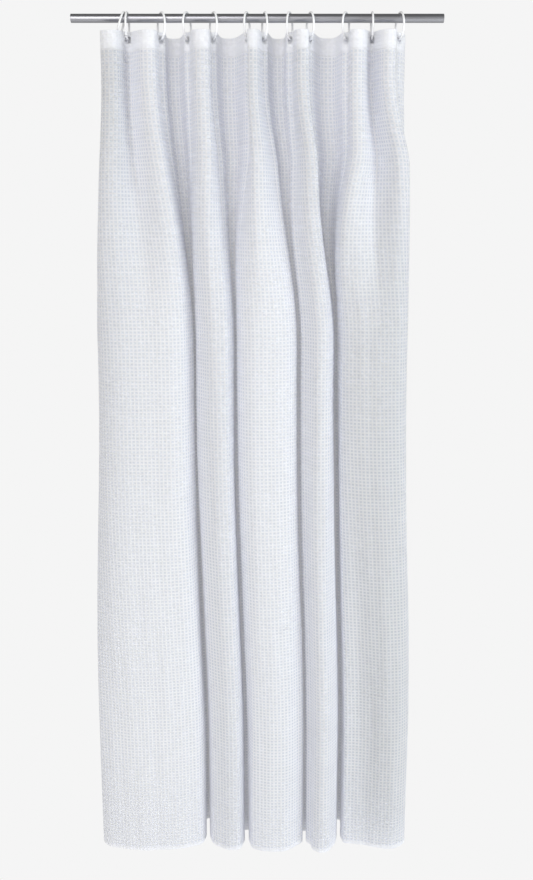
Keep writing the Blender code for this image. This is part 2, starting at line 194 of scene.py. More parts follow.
# Rubbing by the rings: rings of fine marks round the upper side only.
round_marks = wires.add("ShaderNodeMapping", Vector=place, Scale=(700.0, 6.0, 6.0))
rub = wires.add("ShaderNodeTexNoise", Vector=round_marks.outputs[0], Scale=1.0, Detail=2.0)
rubbed = wires.math("MULTIPLY", wires.ramp(rub.outputs[0], 0.5, 0.7), upper)
tone = wires.mix(lines.outputs[0], (0.33, 0.33, 0.345, 1.0), (0.44, 0.44, 0.455, 1.0))
tone = wires.mix(wires.math("MULTIPLY", rubbed, 0.35), tone, (0.62, 0.62, 0.63, 1.0))
wires.feed(shader, "Base_Color", tone)
rough = wires.math("MULTIPLY_ADD", marks.outputs["Cloud"], 0.07, 0.27)
rough = wires.math("MULTIPLY_ADD", lines.outputs[0], 0.08, rough)
wires.feed(shader, "Roughness", wires.math("MULTIPLY_ADD", rubbed, 0.12, rough))
relief = wires.add("ShaderNodeBump", Strength=0.35, Distance=0.00004, Height=lines.outputs[0])
wires.feed(shader, "Normal", relief.outputs[0])

rod_points = turned_tube(ROD_HALF, ROD_R, ROD_R - ROD_WALL, ROD_CHAMFER, ROD_SIDES, ROD_STEPS)
rod = new_piece("rod", rod_points, grid_faces(*rod_points.shape[:2], True, True), satin_steel)
rod.data.set_sharp_from_angle(angle=math.radians(30))
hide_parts("rod_tube")
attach(rod, "rod")

# ---------------------------------------------------------------------------------------------
# Rings
# Twelve moulded plastic rings, each one round wire bent to a circle and open at one place, where a
# bead closes against the plain end. Each hangs on the rod and through one hole of the cloth.
# ---------------------------------------------------------------------------------------------
RING_COUNT = 12
RING_R = 0.0277
WIRE_R = 0.0023
RING_ON_ROD_GAP = 0.0003
RING_STEPS = 120
WIRE_SIDES = 20
PARTING_RIDGE = 0.00006
RING_SPLIT = math.radians(34.0)
RING_SPLIT_GAP = 0.0016
BEAD_R = 0.0031
BEAD_LENGTH = 0.0064
# Turn about the upright and lean towards -X, in degrees.
RING_TURNS = ((0, 16), (-1, 0), (22, 0), (-14, 0), (19, 0), (-11.5, 0),
              (11.5, 0), (-14, 0), (14, 0), (-19, 0), (-1, 0), (12, 0))


def ring_body(number):
    """The body that ring and buttonhole number ride on: the last ring stays with the cloth."""
    return "curtain" if number == RING_COUNT else f"slider_{number:02d}"


def tube_points(centres, outs, binormals, radii, sides):
    """A round section carried along a path: centre + radius x (cos out + sin binormal)."""
    turn = np.linspace(0, 2 * math.pi, sides, endpoint=False)[None, :, None]
    section = np.cos(turn) * outs[:, None, :] + np.sin(turn) * binormals[:, None, :]
    return centres[:, None, :] + np.asarray(radii)[:, :, None] * section


def ring_points():
    """A circle of wire in the YZ plane from one lip of the split to the other. The wire swells into a bead
    after the first lip, as an ellipse does, and both lips are rounded off as a quarter circle."""
    gap = RING_SPLIT_GAP / RING_R
    start, end = RING_SPLIT + gap / 2, RING_SPLIT + 2 * math.pi - gap / 2
    bead = BEAD_LENGTH / RING_R
    lip = 1 - np.cos(np.linspace(0, math.pi / 2, 8))
    fine = start + bead * np.linspace(0, 1.1, 20)
    turn = np.unique(np.concatenate([start + lip * WIRE_R / RING_R, fine,
                                     np.linspace(start + 1.2 * bead, end, RING_STEPS),
                                     end - lip * WIRE_R / RING_R]))
    along = np.clip((turn - start) / bead, 0, 1)
    swell = BEAD_R * np.sqrt(np.clip(1 - (2 * along - 1) ** 2, 0, 1))
    wire = np.maximum(WIRE_R, swell)
    near_end = np.clip((end - turn) * RING_R / WIRE_R, 0, 1)
    near_start = np.clip((turn - start) * RING_R / WIRE_R, 0, 1)
    wire = wire * np.sqrt(np.maximum(1 - (1 - near_end) ** 2, 0.02))
    wire = wire * np.sqrt(np.maximum(1 - (1 - near_start) ** 2, 0.02))
    radii = np.repeat(wire[:, None], WIRE_SIDES, axis=1)
    radii[:, [0, WIRE_SIDES // 2]] += PARTING_RIDGE * (wire / WIRE_R)[:, None]
    outs = np.stack([np.zeros_like(turn), -np.sin(turn), -np.cos(turn)], axis=1)
    sideways = np.tile([-1.0, 0.0, 0.0], (len(turn), 1))
    return tube_points(RING_R * outs, outs, sideways, radii, WIRE_SIDES)


def capped(faces, rows, columns):
    """The tube's quads with a flat face over each end."""
    ends = [list(range(columns)), [(rows - 1) * columns + k for k in range(columns)]]
    return [*faces.tolist(), ends[0], ends[1][::-1]]


white_plastic, wires, shader = new_material("white_plastic", Coat_Weight=0.15, Coat_Roughness=0.12)
place = wires.add("ShaderNodeTexCoord").outputs["Object"]
marks = wires.add("ShaderNodeGroup", {"node_tree": handling}, Vector=place, Cloud_Scale=45.0,
                  Scratch_Scale=900.0)
apart = wires.add("ShaderNodeSeparateXYZ", Vector=place)
flat_place = wires.add("ShaderNodeCombineXYZ", Y=apart.outputs[1], Z=apart.outputs[2])
to_rod = wires.add("ShaderNodeVectorMath", {"operation": "LENGTH"}, n0=flat_place.outputs[0]).outputs[1]
# Grey rub marks and painted contact shade on the inside of the bend that sits on the rod.
rub_and_contact_shade = wires.ramp(to_rod, ROD_R + 0.0022, ROD_R, 0.0, 1.0)
rub_and_contact_shade = wires.math("MULTIPLY", rub_and_contact_shade, wires.math("MULTIPLY_ADD", marks.outputs["Cloud"], 0.6, 0.3))
tone = wires.mix(marks.outputs["Cloud"], (0.82, 0.82, 0.80, 1.0), (0.88, 0.88, 0.865, 1.0))
wires.feed(shader, "Base_Color", wires.mix(rub_and_contact_shade, tone, (0.34, 0.34, 0.34, 1.0)))
rough = wires.math("MULTIPLY_ADD", marks.outputs["Cloud"], 0.08, 0.24)
wires.feed(shader, "Roughness", wires.math("MULTIPLY_ADD", marks.outputs["Scratch"], 0.15, rough))
relief = wires.add("ShaderNodeBump", Strength=0.25, Distance=0.00003, Height=marks.outputs["Scratch"])
wires.feed(shader, "Normal", relief.outputs[0])

ring_shape = ring_points()
ring_faces = capped(grid_faces(*ring_shape.shape[:2], False, True), *ring_shape.shape[:2])
for number, (yaw, lean) in enumerate(np.radians(RING_TURNS), 1):
    low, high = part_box(f"ring_{number:02d}")
    # Lean about Y first, then turn about Z; the ring's top rests on the rod.
    tilt = np.array([[math.cos(lean), 0, math.sin(lean)], [0, 1, 0], [-math.sin(lean), 0, math.cos(lean)]])
    swing = np.array([[math.cos(yaw), -math.sin(yaw), 0], [math.sin(yaw), math.cos(yaw), 0], [0, 0, 1]])
    middle = np.array([(low.x + high.x) / 2, 0.0, ROD_R + RING_ON_ROD_GAP + WIRE_R - RING_R * math.cos(lean)])
    ring_points = ring_shape @ (swing @ tilt).T + middle
    ring = new_piece(f"wire_ring_{number:02d}", ring_points, ring_faces, white_plastic)
    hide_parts(f"ring_{number:02d}")
    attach(ring, ring_body(number))

# ---------------------------------------------------------------------------------------------
# Cloth
# One piece of white waffle weave, cut 1.80 m wide and 2.00 m long, with a deep doubled hem at the
# top, narrow ones round the other edges, and twelve holes 150 mm apart. It hangs in gathered folds.
# ---------------------------------------------------------------------------------------------
CLOTH_WIDTH = 1.80
CLOTH_LENGTH = 2.00
CLOTH_THICK = 0.0010
HOLE_PITCH = 0.150
TOP_HEM = 0.040
BOTTOM_HEM = 0.010
SIDE_HEM = 0.010
HEM_EXTRA = 0.0010
HEM_STEP = 0.0015
STRAIGHT_DROP = 0.08
WAIST_DROP = 0.70
LOW_DROP = 1.75
MOST_GAIN = 1.10
EDGE_SAG = 0.0035
# The folds seen from above (x, y): at the rings, at the waist and near the hem.
LEFT_END = ((-0.3026, 0.074), (-0.2960, 0.052), (-0.2940, 0.026), (-0.2985, 0.007))
LEFT_LOOP = ((-0.324, -0.003), (-0.338, -0.012), (-0.3434, -0.030), (-0.336, -0.047),
             (-0.320, -0.053), (-0.306, -0.046), (-0.2935, -0.008))
RING_2_RIGHT = (-0.2795, -0.004)
RIGHT_END = ((0.327, 0.018), (0.3325, 0.040), (0.325, 0.062))
# Bulges between neighbouring rings: middle x, half width of the crown, side (-1 near, +1 far).
BULGES = (
    (-0.2376, 0.014, -1), (-0.1900, 0.013, 1), (-0.1211, 0.014, -1), (-0.0660, 0.014, 1),
    (-0.0100, 0.011, -1),
    (0.0470, 0.012, 1), (0.0990, 0.012, -1), (0.1590, 0.015, 1), (0.2180, 0.013, -1), (0.2869, 0.013, -1),
)
BULGE_DEPTH = 0.055
CROSSING = 0.007
# The two lower plan curves, (x, y) from left to right. A separate scratch program solved these points,
# so they are a table to replace by a rule, not a pattern to copy.
WAIST_FOLDS = (
    (-0.3165, 0.0319), (-0.3461, 0.0351), (-0.3685, 0.0188), (-0.3769, -0.0050), (-0.3647, -0.0290),
    (-0.3361, -0.0450), (-0.2998, -0.0510), (-0.2624, -0.0480), (-0.2313, -0.0510), (-0.2031, -0.0490),
    (-0.1827, -0.0390), (-0.1684, -0.0240), (-0.1595, -0.0065), (-0.1547, 0.0133), (-0.1620, 0.0413),
    (-0.1665, 0.0694), (-0.1595, 0.0904), (-0.1455, 0.0904), (-0.1385, 0.0694), (-0.1410, 0.0413),
    (-0.1463, 0.0133), (-0.1415, -0.0065), (-0.1326, -0.0240), (-0.1185, -0.0400), (-0.1037, -0.0510),
    (-0.0871, -0.0530), (-0.0708, -0.0470), (-0.0626, -0.0250), (-0.0590, -0.0154), (-0.0570, -0.0046),
    (-0.0630, 0.0107), (-0.0665, 0.0260), (-0.0595, 0.0374), (-0.0455, 0.0374), (-0.0385, 0.0260),
    (-0.0420, 0.0107), (-0.0480, -0.0046), (-0.0461, -0.0154), (-0.0425, -0.0250), (-0.0318, -0.0430),
    (-0.0116, -0.0520), (0.0168, -0.0540), (0.0451, -0.0500), (0.0690, -0.0390), (0.0800, -0.0250),
    (0.0889, -0.0152), (0.0937, -0.0040), (0.0874, 0.0117), (0.0839, 0.0275), (0.0909, 0.0393),
    (0.1049, 0.0393), (0.1119, 0.0275), (0.1084, 0.0117), (0.1021, -0.0040), (0.1069, -0.0152),
    (0.1158, -0.0250), (0.1258, -0.0430), (0.1371, -0.0540), (0.1488, -0.0550), (0.1610, -0.0490),
    (0.1732, -0.0240), (0.1788, -0.0059), (0.1818, 0.0145), (0.1758, 0.0434), (0.1723, 0.0723),
    (0.1793, 0.0940), (0.1933, 0.0940), (0.2003, 0.0723), (0.1968, 0.0434), (0.1908, 0.0145),
    (0.1938, -0.0059), (0.1994, -0.0240), (0.2092, -0.0370), (0.2321, -0.0470), (0.2601, -0.0510),
    (0.2928, -0.0540), (0.3218, -0.0490), (0.3430, -0.0310), (0.3519, -0.0090), (0.3486, 0.0136),
    (0.3244, 0.0280), (0.2830, 0.0322), (0.2407, 0.0280),
)
HEM_FOLDS = (
    (-0.3909, 0.0342), (-0.4001, 0.0342), (-0.4081, 0.0222), (-0.4079, 0.0030), (-0.3967, -0.0190),
    (-0.3582, -0.0350), (-0.3058, -0.0440), (-0.2522, -0.0430), (-0.2066, -0.0380), (-0.1713, -0.0290),
    (-0.1528, -0.0170), (-0.1429, 0.0002), (-0.1376, 0.0197), (-0.1462, 0.0472), (-0.1514, 0.0747),
    (-0.1439, 0.0953), (-0.1289, 0.0953), (-0.1214, 0.0747), (-0.1237, 0.0472), (-0.1292, 0.0197),
    (-0.1239, 0.0002), (-0.1141, -0.0170), (-0.1019, -0.0290), (-0.0834, -0.0410), (-0.0628, -0.0450),
    (-0.0502, -0.0380), (-0.0422, -0.0190), (-0.0384, -0.0091), (-0.0363, 0.0021), (-0.0426, 0.0178),
    (-0.0463, 0.0336), (-0.0388, 0.0455), (-0.0238, 0.0455), (-0.0163, 0.0336), (-0.0201, 0.0178),
    (-0.0263, 0.0021), (-0.0243, -0.0091), (-0.0205, -0.0190), (-0.0118, -0.0370), (0.0114, -0.0480),
    (0.0420, -0.0510), (0.0701, -0.0460), (0.0909, -0.0340), (0.1002, -0.0220), (0.1092, -0.0128),
    (0.1141, -0.0023), (0.1080, 0.0125), (0.1053, 0.0272), (0.1128, 0.0383), (0.1278, 0.0383),
    (0.1353, 0.0272), (0.1305, 0.0125), (0.1225, -0.0023), (0.1273, -0.0128), (0.1363, -0.0220),
    (0.1419, -0.0410), (0.1541, -0.0530), (0.1694, -0.0540), (0.1826, -0.0450), (0.1975, -0.0130),
    (0.2030, 0.0029), (0.2060, 0.0209), (0.1992, 0.0464), (0.1955, 0.0718), (0.2030, 0.0909),
    (0.2180, 0.0909), (0.2255, 0.0718), (0.2217, 0.0464), (0.2150, 0.0209), (0.2179, 0.0029),
    (0.2234, -0.0130), (0.2414, -0.0150), (0.2618, -0.0180), (0.2818, -0.0250), (0.3041, -0.0330),
    (0.3317, -0.0380), (0.3580, -0.0330), (0.3753, -0.0190), (0.3816, -0.0010), (0.3805, 0.0217),
    (0.3543, 0.0383), (0.3061, 0.0424), (0.2571, 0.0383),
)

holes_s = np.array([CLOTH_WIDTH / 2 + (k - (RING_COUNT - 1) / 2) * HOLE_PITCH for k in range(RING_COUNT)])
hole_boxes = [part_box(f"buttonhole_{k:02d}") for k in range(1, RING_COUNT + 1)]
holes = np.array([(np.array(low) + np.array(high)) / 2 for low, high in hole_boxes])
top_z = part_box("curtain_panel")[1].z


def through(points, per_span=24):
    """A smooth curve through the points, as a dense polyline, and the index of each point in it."""
    p = np.array(points)
    p = np.vstack([2 * p[0] - p[1], p, 2 * p[-1] - p[-2]])
    u = np.linspace(0, 1, per_span, endpoint=False)[None, :, None]
    a, b, c, d = (p[k:len(p) - 3 + k, None, :] for k in range(4))
    spans = 0.5 * (2 * b + (c - a) * u + (2 * a - 5 * b + 4 * c - d) * u**2 + (3 * b - a - 3 * c + d) * u**3)
    return np.vstack([spans.reshape(-1, 2), p[-2:-1]]), np.arange(len(points)) * per_span


def lengths_along(line):
    """Distance from the first point to each point of a polyline."""
    return np.concatenate([[0], np.cumsum(np.linalg.norm(np.diff(line, axis=0), axis=1))])


def folds_at_rings(widths):
    """The plan curve at the rings: it crosses each ring at a slant, and each bulge between two rings is
    made deeper or shallower until it holds its 150 mm of cloth."""
    depth = np.full(len(BULGES), BULGE_DEPTH)
    after = [bulge[2] for bulge in BULGES[1:]] + [1]
    for _ in range(30):
        points = [*LEFT_END, (holes[0, 0], 0), *LEFT_LOOP, (holes[1, 0], 0), RING_2_RIGHT]
        marks = [len(LEFT_END), len(points) - 2]
        for (middle, half, side), deep, x, next_side in zip(BULGES, depth, holes[2:, 0], after):
            points += [(middle - half, side * deep), (middle + half, side * deep)]
            crossing = [] if side == next_side else [CROSSING]
            points += [(x - a, side * a) for a in crossing] + [(x, 0)]
            points += [(x + a, -side * a) for a in crossing]
            marks.append(len(points) - 1 - len(crossing))
        line, index = through([*points, *RIGHT_END])
        run = lengths_along(line)
        at_holes = run[index[marks]]
        depth = depth * HOLE_PITCH / np.diff(at_holes)[1:]
    at = np.interp(widths, [0, *holes_s, CLOTH_WIDTH], [0, *at_holes, run[-1]])
    return np.stack([np.interp(at, run, line[:, k]) for k in (0, 1)], axis=1)


def broad_folds(points, widths):
    """A plan curve lower down, stretched so that its length is the cloth's width."""
    line, _ = through(points)
    run = lengths_along(line)
    line = line * CLOTH_WIDTH / run[-1]
    at = widths / CLOTH_WIDTH * run[-1]
    return np.stack([np.interp(at, run, line[:, k]) for k in (0, 1)], axis=1)


def headings(line):
    """Heading of each step of a polyline, without jumps of a full turn, the middle ones near zero."""
    step = np.diff(line, axis=0)
    turn = np.unwrap(np.arctan2(step[:, 1], step[:, 0]))
    return turn - 2 * math.pi * round(np.median(turn) / (2 * math.pi))


def plan_at(drop, widths, keys):
    """The plan curve a given drop below the top edge. Headings and step lengths run smoothly from one key
    curve to the next, are walked out again, and the folds are made steeper until the extent fits."""
    upper, lower = (keys[0], keys[1]) if drop < keys[1][0] else (keys[1], keys[2])
    share = min(1.0, max(0.0, (drop - upper[0]) / (lower[0] - upper[0])))
    share = share * share * (3 - 2 * share)
    above, below = upper[1], lower[1]
    if share in (0, 1):
        return below if share else above
    turn = (1 - share) * headings(above) + share * headings(below)
    step = ((1 - share) * np.linalg.norm(np.diff(above, axis=0), axis=1)
            + share * np.linalg.norm(np.diff(below, axis=0), axis=1))
    low, high = ((1 - share) * ends[0] + share * ends[1] for ends in
                 ((above[:, 0].min(), below[:, 0].min()), (above[:, 0].max(), below[:, 0].max())))
    mild, steep = 0.8, MOST_GAIN
    for _ in range(24):
        gain = 0.5 * (mild + steep)
        walk = np.cumsum(np.stack([np.cos(gain * turn), np.sin(gain * turn)], 1) * step[:, None], axis=0)
        run = np.vstack([[0, 0], walk])
        if np.ptp(run[:, 0]) > high - low:
            mild = gain
        else:
            steep = gain
    x = low + (run[:, 0] - run[:, 0].min()) * (high - low) / np.ptp(run[:, 0])
    ends = [(1 - share) * above[i, 1] + share * below[i, 1] for i in (0, -1)]
    along = widths / CLOTH_WIDTH
    y = run[:, 1] + (ends[0] - run[0, 1]) * (1 - along) + (ends[1] - run[-1, 1]) * along
    return np.stack([x, y], axis=1)


PLAN_STEP_S = 0.0025
PLAN_STEP_D = 0.005
plan_s = np.linspace(0, CLOTH_WIDTH, round(CLOTH_WIDTH / PLAN_STEP_S) + 1)
plan_d = np.linspace(0, CLOTH_LENGTH, round(CLOTH_LENGTH / PLAN_STEP_D) + 1)
key_folds = ((STRAIGHT_DROP, folds_at_rings(plan_s)),
             (WAIST_DROP, broad_folds(WAIST_FOLDS, plan_s)), (LOW_DROP, broad_folds(HEM_FOLDS, plan_s)))
plan = np.array([plan_at(d, plan_s, key_folds) for d in plan_d])
plan_way = np.gradient(plan, axis=1)
plan_way /= np.linalg.norm(plan_way, axis=2)[:, :, None]


def looked_up(table, s, d):
    """The table's value at width s and drop d, blended from its four nearest entries."""
    column = np.clip(s / PLAN_STEP_S, 0, len(plan_s) - 1.001)
    row = np.clip(d / PLAN_STEP_D, 0, len(plan_d) - 1.001)
    i, j = row.astype(int), column.astype(int)
    down, across = (row - i)[..., None], (column - j)[..., None]
    upper = table[i, j] * (1 - across) + table[i, j + 1] * across
    lower = table[i + 1, j] * (1 - across) + table[i + 1, j + 1] * across
    return upper * (1 - down) + lower * down


def smooth_step(value, low, high):
    """0 below low, 1 above high, with no corners between."""
    t = np.clip((value - low) / (high - low), 0, 1)
    return t * t * (3 - 2 * t)


def edge_sag(s, d):
    """The top edge dips between two rings as a raised cosine, less and less further down."""
    between = (s - holes_s[0]) / HOLE_PITCH
    inside = (between > 0) & (between < RING_COUNT - 1)
    dip = EDGE_SAG * 0.5 * (1 - np.cos(2 * math.pi * between)) * np.exp(-d / 0.12)
    return np.where(inside, dip, 0.0)


def ripple(s, d):
    """Shallow uneven ripples down the cloth: three sine waves across whose phase drifts with the drop."""
    drift = 1.5 * np.sin(2.1 * d + 0.7) + 0.8 * np.sin(4.7 * d + 9 * s)
    waves = (0.0010 * np.sin(2 * math.pi * s / 0.083 + drift)
             + 0.0006 * np.sin(2 * math.pi * s / 0.047 - 1.7 * drift + 2.0)
             + 0.0003 * np.sin(2 * math.pi * s / 0.029 + 2.3 * drift + 4.1))
    return waves * smooth_step(d, 0.05, 0.30)


def hung(s, d, off):
    """The point of the hung cloth at width s and drop d, off its middle surface towards the far side."""
    s, d, off = np.broadcast_arrays(s, d, off)
    place, way = looked_up(plan, s, d), looked_up(plan_way, s, d)
    way = way / np.linalg.norm(way, axis=-1)[..., None]
    off = off + ripple(s, d)
    z = top_z - d - edge_sag(s, d)
    return np.stack([place[..., 0] - way[..., 1] * off, place[..., 1] + way[..., 0] * off, z], axis=-1)


# The grid is fine at the hems, where the cloth is double and the stitching pulls it in.
EDGE_STITCH_IN = 0.008
TOP_STITCH_DROP = 0.037
STITCH_DENT = 0.0002
narrow = np.array([0, 0.0005, 0.0062, EDGE_STITCH_IN, 0.0095, SIDE_HEM, SIDE_HEM + HEM_STEP])
columns = np.unique(np.concatenate([
    narrow, np.linspace(0.015, CLOTH_WIDTH - 0.015, 412), CLOTH_WIDTH - narrow]))
drops = np.unique(np.concatenate([
    [0, 0.0005, 0.004], np.linspace(0.009, 0.034, 6),
    [0.0355, TOP_STITCH_DROP, 0.0385, TOP_HEM, TOP_HEM + HEM_STEP],
    np.linspace(0.05, 1.98, 84), CLOTH_LENGTH - narrow]))
S, D = np.meshgrid(columns, drops)
doubled = np.maximum.reduce([
    1 - smooth_step(D, TOP_HEM, TOP_HEM + HEM_STEP),
    smooth_step(D, CLOTH_LENGTH - BOTTOM_HEM - HEM_STEP, CLOTH_LENGTH - BOTTOM_HEM),
    1 - smooth_step(S, SIDE_HEM, SIDE_HEM + HEM_STEP),
    smooth_step(S, CLOTH_WIDTH - SIDE_HEM - HEM_STEP, CLOTH_WIDTH - SIDE_HEM)])
to_seam = np.minimum.reduce([np.abs(D - TOP_STITCH_DROP), np.abs(D - CLOTH_LENGTH + EDGE_STITCH_IN),
                             np.abs(S - EDGE_STITCH_IN), np.abs(S - CLOTH_WIDTH + EDGE_STITCH_IN)])
dent = STITCH_DENT * (1 - smooth_step(to_seam, 0.0002, 0.0014))
near_side = hung(S, D, -CLOTH_THICK / 2 + dent)
far_side = hung(S, D, CLOTH_THICK / 2 + HEM_EXTRA * doubled - dent)


def closed_sheet(near, far):
    """Points and quads of a thin body: the near grid, the far grid turned round, and a wall round it."""
    rows, count = near.shape[:2]
    face = grid_faces(rows, count, False, False)
    index = np.arange(rows * count).reshape(rows, count)
    rim = np.concatenate([index[0], index[1:, -1], index[-1, -2::-1], index[-2:0:-1, 0]])
    after = np.roll(rim, -1)
    wall = np.stack([rim, after, after + rows * count, rim + rows * count], axis=1)
    quads = np.vstack([face, face[:, ::-1] + rows * count, wall])
    return np.vstack([near.reshape(-1, 3), far.reshape(-1, 3)]), quads


# Waffle weave: raised borders of floating yarn round small sunken cells.
WAFFLE_WIDTH = 0.0092
WAFFLE_HEIGHT = 0.0083
YARN = 0.00080
waffle, wires, given, result = new_group(
    "waffle_weave",
    [("Vector", VECTOR, None), ("Cell Width", FLOAT, WAFFLE_WIDTH), ("Cell Height", FLOAT, WAFFLE_HEIGHT),
     ("Yarn", FLOAT, YARN)],
    [("Ridge", FLOAT), ("Yarn", FLOAT)],
)
apart = wires.add("ShaderNodeSeparateXYZ", Vector=given.outputs[0])
borders, yarns = [], []
for axis, size in ((0, given.outputs[1]), (1, given.outputs[2])):
    turn = wires.math("MULTIPLY", wires.math("DIVIDE", apart.outputs[axis], size), 2 * math.pi)
    border = wires.math("MULTIPLY_ADD", wires.math("COSINE", turn), 0.5, 0.5)
    borders.append(wires.math("POWER", border, 1.6))
    turn = wires.math("MULTIPLY", wires.math("DIVIDE", apart.outputs[axis], given.outputs[3]), 2 * math.pi)
    yarns.append(wires.math("MULTIPLY_ADD", wires.math("COSINE", turn), 0.5, 0.5))
ridge = wires.math("SMOOTH_MAX", borders[0], borders[1], 0.2)
wires.feed(result, "n0", ridge)
# Yarns lie across each border: upright ones on the upright borders, level ones on the level borders.
wires.feed(result, "n1", wires.math("ADD", wires.math("MULTIPLY", yarns[0], borders[0]),
                                    wires.math("MULTIPLY", yarns[1], borders[1])))

# The cloth is thin enough for light to pass through it into the folds behind.
COOL_WHITE = (0.88, 0.90, 0.985, 1.0)
WARM_WHITE = (0.93, 0.925, 0.975, 1.0)
SLUB_GREY = (0.78, 0.785, 0.81, 1.0)
PAINTED_CELL_SHADE = (0.58, 0.62, 0.74, 1.0)
HEM_WHITE = (0.79, 0.80, 0.83, 1.0)
LIGHT_SPREAD = (0.009, 0.009, 0.010)
RIDGE_HEIGHT = 0.0011
YARN_HEIGHT = 0.00012
SLUB_HEIGHT = 0.00008
HEM_EDGE = 0.001
white_waffle, wires, shader = new_material(
    "white_waffle", Sheen_Weight=0.20, Sheen_Roughness=0.45, Specular_IOR_Level=0.30,
    Subsurface_Weight=0.85, Subsurface_Radius=LIGHT_SPREAD, Subsurface_Scale=1.0)
flat_place = wires.add("ShaderNodeMapping", Vector=wires.add("ShaderNodeTexCoord").outputs["UV"],
                       Scale=(CLOTH_WIDTH, CLOTH_LENGTH, 1.0)).outputs[0]
weave = wires.add("ShaderNodeGroup", {"node_tree": waffle}, Vector=flat_place)
apart = wires.add("ShaderNodeSeparateXYZ", Vector=flat_place)
from_top = wires.math("SUBTRACT", CLOTH_LENGTH, apart.outputs[1])
from_side = wires.math("MINIMUM", apart.outputs[0], wires.math("SUBTRACT", CLOTH_WIDTH, apart.outputs[0]))
# Where the cloth is double it is pressed flatter, so its cells are fainter.
in_hem = wires.math("MAXIMUM", wires.ramp(from_top, TOP_HEM + HEM_EDGE, TOP_HEM - HEM_EDGE),
                    wires.ramp(apart.outputs[1], BOTTOM_HEM + HEM_EDGE, BOTTOM_HEM - HEM_EDGE))
in_hem = wires.math("MAXIMUM", in_hem, wires.ramp(from_side, SIDE_HEM + HEM_EDGE, SIDE_HEM - HEM_EDGE))
pressed = wires.math("MULTIPLY_ADD", in_hem, -0.55, 1.0)
broad = wires.add("ShaderNodeTexNoise", Vector=flat_place, Scale=3.0, Detail=3.0)
slub = wires.add("ShaderNodeMapping", Vector=flat_place, Scale=(900.0, 25.0, 1.0))
slubs = wires.add("ShaderNodeTexNoise", Vector=slub.outputs[0], Scale=1.0, Detail=2.0)
pit = wires.math("MULTIPLY", wires.math("SUBTRACT", 1.0, weave.outputs["Ridge"]), pressed)
tone = wires.mix(broad.outputs[0], COOL_WHITE, WARM_WHITE)
tone = wires.mix(wires.math("MULTIPLY", slubs.outputs[0], 0.12), tone, SLUB_GREY)
# Painted shade: the sunken cells are darkened towards a bluish grey, as the bump casts no shade there.
tone = wires.mix(wires.math("MULTIPLY", pit, 0.80), tone, PAINTED_CELL_SHADE)
tone = wires.mix(wires.math("MULTIPLY", in_hem, 0.7), tone, HEM_WHITE)
wires.feed(shader, "Base_Color", tone)
wires.feed(shader, "Roughness", wires.math("MULTIPLY_ADD", pit, 0.18, 0.58))
height = wires.math("MULTIPLY", wires.math("MULTIPLY", weave.outputs["Ridge"], pressed), RIDGE_HEIGHT)
height = wires.math("MULTIPLY_ADD", weave.outputs["Yarn"], YARN_HEIGHT, height)
height = wires.math("MULTIPLY_ADD", slubs.outputs[0], SLUB_HEIGHT, height)
relief = wires.add("ShaderNodeBump", Strength=1.0, Distance=1.0, Height=height)
wires.feed(shader, "Normal", relief.outputs[0])

cloth_points, cloth_faces = closed_sheet(near_side, far_side)
cloth = new_piece("curtain_cloth", cloth_points, cloth_faces, white_waffle)
flat_uv = np.tile(np.stack([S / CLOTH_WIDTH, 1 - D / CLOTH_LENGTH], axis=2).reshape(-1, 2), (2, 1))
cloth.data.uv_layers.new(name="flat_cloth").data.foreach_set("uv", flat_uv[cloth_faces].ravel())

# The holes are cut through both layers of the hem, square to the cloth, a little wider than the sewn edge.
BORE_R = 0.0046
BINDING_R = 0.0012
HOLE_CLEAR = 0.0001
HOLE_SIDES = 32
HOLE_REACH = 0.007
hole_drops = top_z - holes[:, 2]
along = looked_up(plan_way, holes_s, hole_drops)
along = np.column_stack([along / np.linalg.norm(along, axis=1)[:, None], np.zeros(RING_COUNT)])
upright = np.tile([0.0, 0.0, 1.0], (RING_COUNT, 1))
square = np.cross(along, upright)
cut_r = np.full((2, HOLE_SIDES), BORE_R + 2 * BINDING_R + HOLE_CLEAR)
punch_faces = capped(grid_faces(2, HOLE_SIDES, False, True), 2, HOLE_SIDES)
punch_points = [tube_points(middle + np.outer((-HOLE_REACH, HOLE_REACH), out), np.tile(way, (2, 1)),
                            np.tile(up, (2, 1)), cut_r, HOLE_SIDES).reshape(-1, 3)
                for middle, out, way, up in zip(holes, square, along, upright)]
punches = new_piece("punches", np.vstack(punch_points),
                    [[v + k * 2 * HOLE_SIDES for v in face]
                     for k in range(RING_COUNT) for face in punch_faces],
                    white_waffle)
cut = cloth.modifiers.new("holes", "BOOLEAN")
cut.operation = "DIFFERENCE"
cut.solver = "MANIFOLD"
cut.object = punches
bpy.context.view_layer.update()
finished = bpy.data.meshes.new_from_object(cloth.evaluated_get(bpy.context.evaluated_depsgraph_get()))
cloth.modifiers.clear()
cloth.data = finished
bpy.data.objects.remove(punches, do_unlink=True)
cloth.data.set_sharp_from_angle(angle=math.radians(45))


def gathers(piece):
    """A sewn piece rides on the curtain body, with a mesh of its own."""
    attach(piece, "curtain")
    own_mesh(piece)


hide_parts("curtain_panel")
gathers(cloth)

# ---------------------------------------------------------------------------------------------
# Seams
# Lockstitched in white polyester thread: one row along the foot of the top hem, and one round each
# of the other edges. Every stitch is a short arch of thread that dives into the cloth at both ends.
# ---------------------------------------------------------------------------------------------
STITCH_PITCH = 0.0032
STITCH_LENGTH = 0.0026
THREAD_R = 0.00028
STITCH_STEPS = 4
STITCH_SIDES = 6

